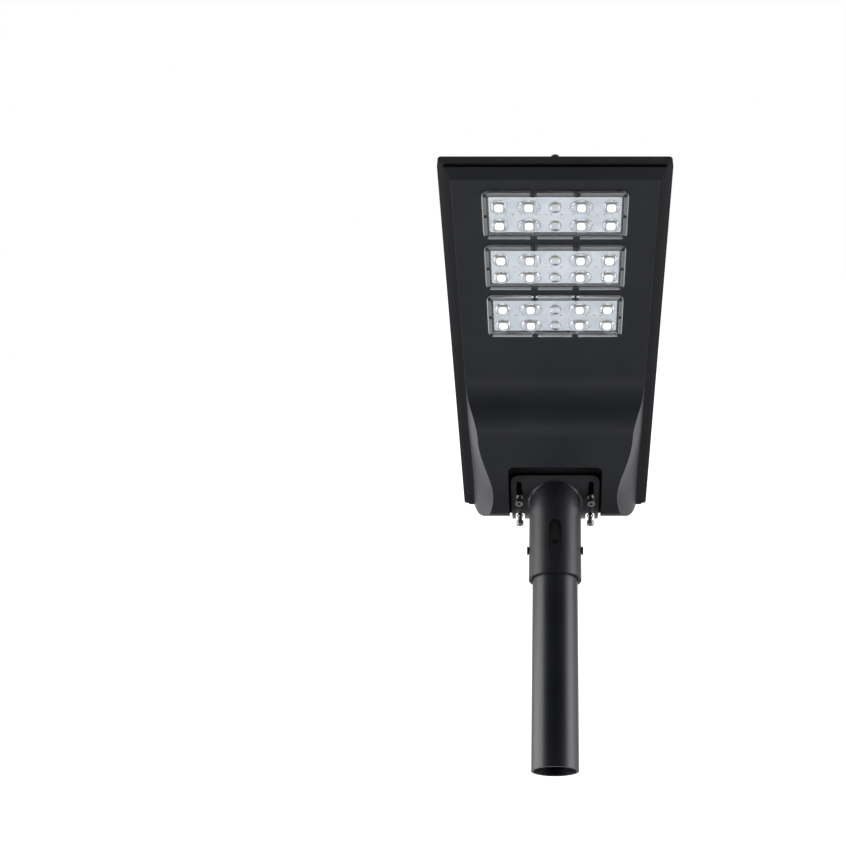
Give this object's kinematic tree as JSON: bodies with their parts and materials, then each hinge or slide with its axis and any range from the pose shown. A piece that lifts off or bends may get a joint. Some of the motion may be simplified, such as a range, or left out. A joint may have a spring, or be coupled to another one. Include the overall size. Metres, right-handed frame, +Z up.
{
  "type": "solar street lamp",
  "caption": "Flat solar street lamp head with light modules under its nose and a battery belly behind, tilted on a sleeve bracket over a section of round pole.",
  "frame": {"origin": "centre of the pole section's lower end", "axes": "+Z up the pole's axis; the head reaches out along -Y with its nose raised 15 degrees; +X is to the right when the nose points at the viewer"},
  "size_m": [0.255, 0.575, 0.557],
  "materials": {
    "pole_paint": "satin",
    "bracket_paint": "satin",
    "housing_paint": "satin",
    "frame_anodised": "satin",
    "stainless": "brushed",
    "dark_steel": "blackened",
    "black_rubber": "matte",
    "panel_glass": "polished",
    "clear_lens": "polished",
    "white_film": "matte",
    "white_board": "satin",
    "silicon_cell": "polished",
    "led_phosphor": "satin",
    "black_plastic": "matte",
    "cell_sleeve": "gloss",
    "green_board": "satin",
    "case_aluminium": "anodised",
    "lead_sheath": "matte"
  },
  "bodies": {
    "pole": {"pole_tube": "pole_paint"},
    "sleeve": {"pole_bracket": "bracket_paint", "side_set_screws": "stainless", "grub_screws": "dark_steel"},
    "head": {"bracket_bolts": "stainless", "spring_washers": "stainless", "housing": "housing_paint", "frame_seal": "black_rubber", "panel_frame": "frame_anodised", "solar_glass": "panel_glass", "backsheet": "white_film", "glass_bead": "black_rubber", "solar_cells": "silicon_cell", "junction_box": "black_plastic", "frame_screws": "dark_steel", "nose_screw": "dark_steel", "lens_screws": "dark_steel", "battery_cells": "cell_sleeve", "battery_holder": "black_plastic", "battery_strap": "stainless", "strap_screws": "dark_steel", "battery_board": "green_board", "controller_case": "case_aluminium", "controller_lid": "case_aluminium", "controller_board": "green_board", "case_screws": "dark_steel", "panel_lead": "lead_sheath", "battery_lead": "lead_sheath", "led_leads": "lead_sheath", "lead_grommets": "black_rubber", "lens_1": "clear_lens", "lens_gasket_1": "black_rubber", "led_board_1": "white_board", "led_chips_1": "led_phosphor", "lens_2": "clear_lens", "lens_gasket_2": "black_rubber", "led_board_2": "white_board", "led_chips_2": "led_phosphor", "lens_3": "clear_lens", "lens_gasket_3": "black_rubber", "led_board_3": "white_board", "led_chips_3": "led_phosphor"}
  },
  "joints": [
    {"name": "sleeve_swivel", "type": "hinge", "parent": "pole", "child": "sleeve", "pos_m": [0, 0, 0.3], "axis": [0, 0, 1], "range_deg": [-180, 180]},
    {"name": "head_tilt", "type": "hinge", "parent": "sleeve", "child": "head", "pos_m": [0, 0.02953, 0.46853], "axis": [1, 0, 0], "range_deg": [0, 8]}
  ]
}
